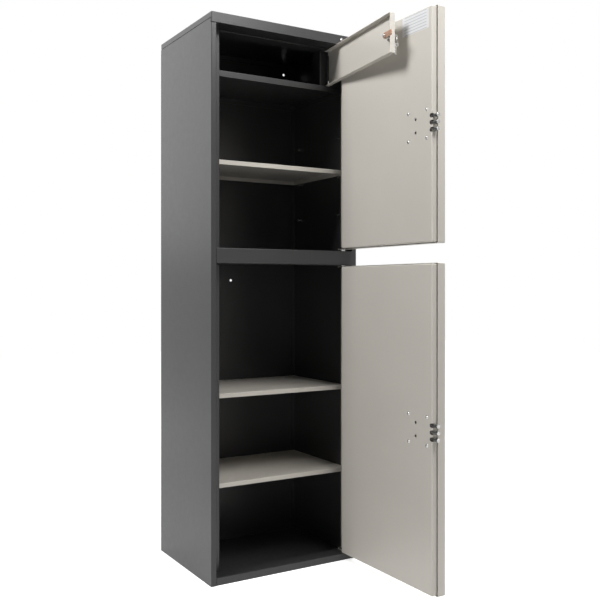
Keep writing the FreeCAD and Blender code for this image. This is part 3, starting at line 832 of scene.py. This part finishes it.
@dataclass(frozen=True)
class CamScrew:
    """Pan-headed cross-recessed screw standing on z."""

    radius: float = 0.0045
    head: float = 0.003
    recess_width: float = 0.0011
    recess_depth: float = 0.0014
    recess_length: float = 0.005625
    dome: float = 0.00135
    sides: int = 48

    def model(self, name: str) -> Bench:
        """Model the screw's head.

        Args:
            name: Name of the piece.

        Returns:
            The bench with the screw, its seat at the origin.
        """
        screw = Bench.cylinder(name, self.radius, self.head, self.sides, (0, 0, self.head / 2))
        screw.select(lambda face: face.normal.z > FACING)
        bpy.ops.mesh.bevel(offset=self.dome, segments=5)
        screw.done()
        for size in ((self.recess_length, self.recess_width), (self.recess_width, self.recess_length)):
            screw.cut(Bench.block("recess", (*size, 2 * self.recess_depth), (0, 0, self.head)))
        screw.smooth()
        return screw


class BoxLock:
    """Keys, ring and cam screw on the inner box's door, placed in the frame of its lock."""

    BOW_OUT = 0.0115
    RING_OUT = 0.014
    RING_DROP = 0.0073
    SPARE_DROP = 0.0171
    SCREW_IN = 0.02006

    def __init__(self) -> None:
        """Find the lock's axis from its joint."""
        joint = next(j for j in frame["joints"] if j["name"] == "box_lock_turn_joint")
        self.centre = Vector(joint["pos_m"])
        self.inward = -Vector(joint["axis"]).normalized()
        self.up = Vector((0, 0, 1))
        self.across = self.inward.cross(self.up)

    def place(self, x: Vector, y: Vector, inward: float, drop: float) -> Matrix:
        """Where a piece goes on the lock.

        Args:
            x: Where the piece's own x axis points.
            y: Where its y axis points.
            inward: How far it is into the box, in metres.
            drop: How far it is under the lock's axis.

        Returns:
            The piece's place in the shared frame.
        """
        turn = Matrix((x, y, x.cross(y))).transposed().to_4x4()
        return Matrix.Translation(self.centre + self.inward * inward - self.up * drop) @ turn

    def build(self, plate: bpy.types.Material, nickel: bpy.types.Material) -> None:
        """Model, place and dress the pieces.

        Args:
            plate: Plating of the ring and the screw.
            nickel: Plating of the keys.
        """
        key = KeyBlank(blade_width=0.008, blade_end=0.025).model("key_in_lock")
        key.settle(self.place(self.up, self.inward, -self.BOW_OUT, 0))
        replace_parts(key.dress(nickel, Slot.NICKEL, Body.BOX_LOCK), "box_key")
        ring = SplitRing().model("split_ring")
        ring.settle(self.place(self.across, -self.up, -self.RING_OUT, self.RING_DROP))
        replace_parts(ring.dress(plate, Slot.ZINC, Body.KEY_RING), "key_ring")
        spare = KeyBlank().model("second_key")
        spare.settle(self.place(self.inward, -self.up, -self.RING_OUT, self.SPARE_DROP))
        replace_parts(spare.dress(nickel, Slot.NICKEL, Body.KEY_RING), "spare_key")
        screw = CamScrew().model("cam_fixing_screw")
        screw.settle(self.place(self.up, self.across, self.SCREW_IN, 0))
        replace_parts(screw.dress(plate, Slot.ZINC, Body.BOX_LOCK), "cam_screw")


@dataclass(frozen=True)
class Studio:
    """Camera, lamps, floor and background."""

    camera_at: Point = (-1.139, -2.054, 0.775)
    camera_turn: float = -30.12
    lens: float = 48.46
    sensor: float = 36.0
    shift: Span = (0.045, -0.0212)
    target: Point = (0.0, -0.2, 0.8)
    key_at: Point = (-1.3, -0.3, 2.4)
    key_power: float = 36.0
    key_size: float = 0.7
    front_at: Point = (0.2, -1.5, 3.0)
    front_power: float = 30.0
    front_size: float = 1.2
    glint_at: Point = (0.36, -1.54, 2.22)
    glint_power: float = 16.0
    glint_size: float = 0.75
    fill_at: Point = (1.9, 1.0, 2.0)
    fill_power: float = 26.0
    fill_size: float = 1.2
    rim_at: Point = (-1.25, 2.3, 1.9)
    rim_power: float = 8.0
    rim_size: float = 2.0
    ambient: float = 0.06
    floor_size: float = 14.0
    floor_colour: float = 0.95
    floor_near: float = 1.3
    floor_far: float = 2.2
    glow_near: float = 0.68
    glow_far: float = 1.0

    def camera(self) -> None:
        """Set up the camera at the photograph's angle."""
        data = bpy.data.cameras.new("camera")
        data.lens = self.lens
        data.sensor_width = self.sensor
        data.shift_x, data.shift_y = self.shift
        camera = bpy.data.objects.new("camera", data)
        camera.location = self.camera_at
        camera.rotation_euler = (math.radians(90), 0, math.radians(self.camera_turn))
        bpy.context.scene.collection.objects.link(camera)
        bpy.context.scene.camera = camera

    def lamp(self, name: str, at: Point, power: float, size: float) -> None:
        """Add a soft round lamp that looks at the cabinet.

        Args:
            name: Name of the lamp.
            at: Its place.
            power: Power in watts.
            size: Diameter in metres.
        """
        data = bpy.data.lights.new(name, "AREA")
        data.shape = "DISK"
        data.size = size
        data.energy = power
        lamp = bpy.data.objects.new(name, data)
        lamp.location = at
        lamp.rotation_euler = (Vector(at) - Vector(self.target)).to_track_quat("Z", "Y").to_euler()
        bpy.context.scene.collection.objects.link(lamp)

    def mapped(self, tree: Tree, value: Socket, source: Span, result: Span) -> Socket:
        """Map a value smoothly from one range to another.

        Args:
            tree: Node tree of the floor.
            value: The value.
            source: Where the change starts and ends.
            result: What it gives there.

        Returns:
            The mapped value.
        """
        span = add_node(tree, "ShaderNodeMapRange", interpolation_type="SMOOTHSTEP")
        for socket, number in zip(("From Min", "From Max", "To Min", "To Max"), (*source, *result)):
            span.inputs[socket].default_value = number
        tree.links.new(value, span.inputs["Value"])
        return span.outputs["Result"]

    def by_ray(self, tree: Tree, light: Socket, seen: Socket) -> Socket:
        """Choose a shader by what a ray does.

        Args:
            tree: Node tree of the floor or the world.
            light: For light on the cabinet.
            seen: For what the camera sees, directly, in a reflection or through something clear.

        Returns:
            The chosen shader.
        """
        path = add_node(tree, "ShaderNodeLightPath")
        total = light
        for name in ("Is Camera Ray", "Is Glossy Ray", "Is Transmission Ray"):
            mix = add_node(tree, "ShaderNodeMixShader")
            tree.links.new(path.outputs[name], mix.inputs["Fac"])
            tree.links.new(total, mix.inputs[1])
            tree.links.new(seen, mix.inputs[2])
            total = mix.outputs["Shader"]
        return total

    def world(self) -> None:
        """White background, also in reflections, over a weak even light."""
        world = bpy.data.worlds.new("studio")
        world.use_nodes = True
        world.cycles.sampling_method = "NONE"
        tree = world.node_tree
        light = tree.nodes["Background"]
        light.inputs["Color"].default_value = WHITE
        light.inputs["Strength"].default_value = self.ambient
        white = add_node(tree, "ShaderNodeBackground")
        white.inputs["Color"].default_value = WHITE
        shader = self.by_ray(tree, light.outputs["Background"], white.outputs["Background"])
        tree.links.new(shader, tree.nodes["World Output"].inputs["Surface"])
        bpy.context.scene.world = world

    def pale(self, tree: Tree) -> Socket:
        """Plain pale floor that takes light and shadow."""
        paint = add_node(tree, "ShaderNodeBsdfDiffuse")
        paint.inputs["Color"].default_value = (*(self.floor_colour,) * 3, 1)
        return paint.outputs["BSDF"]

    def glow(self, tree: Tree, strength: Socket) -> Socket:
        """Pale floor that takes light and shadow, under a glow that makes it white.

        Args:
            tree: Node tree of the floor.
            strength: Strength of its glow.

        Returns:
            The shader.
        """
        light = add_node(tree, "ShaderNodeEmission")
        tree.links.new(strength, light.inputs["Strength"])
        both = add_node(tree, "ShaderNodeAddShader")
        tree.links.new(self.pale(tree), both.inputs[0])
        tree.links.new(light.outputs["Emission"], both.inputs[1])
        return both.outputs["Shader"]

    def floor(self) -> None:
        """Floor that renders white, also where the cabinet's shadow falls."""
        bpy.ops.object.select_all(action="DESELECT")
        bpy.ops.mesh.primitive_plane_add(size=self.floor_size)
        floor = bpy.context.active_object
        floor.name = "studio_floor"
        material = bpy.data.materials.new("studio_floor")
        material.use_nodes = True
        tree = material.node_tree
        tree.nodes.remove(tree.nodes["Principled BSDF"])
        place = add_node(tree, "ShaderNodeTexCoord").outputs["Object"]
        length = add_node(tree, "ShaderNodeVectorMath", operation="LENGTH")
        tree.links.new(place, length.inputs[0])
        reach = (self.floor_near, self.floor_far)
        strength = self.mapped(tree, length.outputs["Value"], reach, (self.glow_near, self.glow_far))
        shader = self.by_ray(tree, self.pale(tree), self.glow(tree, strength))
        tree.links.new(shader, tree.nodes["Material Output"].inputs["Surface"])
        floor.data.materials.append(material)

    def build(self) -> None:
        """Set up the whole studio."""
        self.camera()
        self.lamp("key_lamp", self.key_at, self.key_power, self.key_size)
        self.lamp("front_lamp", self.front_at, self.front_power, self.front_size)
        self.lamp("glint_lamp", self.glint_at, self.glint_power, self.glint_size)
        self.lamp("fill_lamp", self.fill_at, self.fill_power, self.fill_size)
        self.lamp("rim_lamp", self.rim_at, self.rim_power, self.rim_size)
        self.world()
        self.floor()
        bpy.context.scene.view_settings.view_transform = "Standard"


def main() -> None:
    """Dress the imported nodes, add the small pieces and light the scene."""
    logging.basicConfig(level=logging.INFO, format="%(name)s: %(message)s")
    steel = SteelWork()
    steel.dress()
    BlankLabel().build()
    CapScrew().build(steel.materials[Slot.ZINC])
    BoxLock().build(steel.materials[Slot.ZINC], steel.materials[Slot.NICKEL])
    Studio().build()


if __name__ == "__main__":
    main()
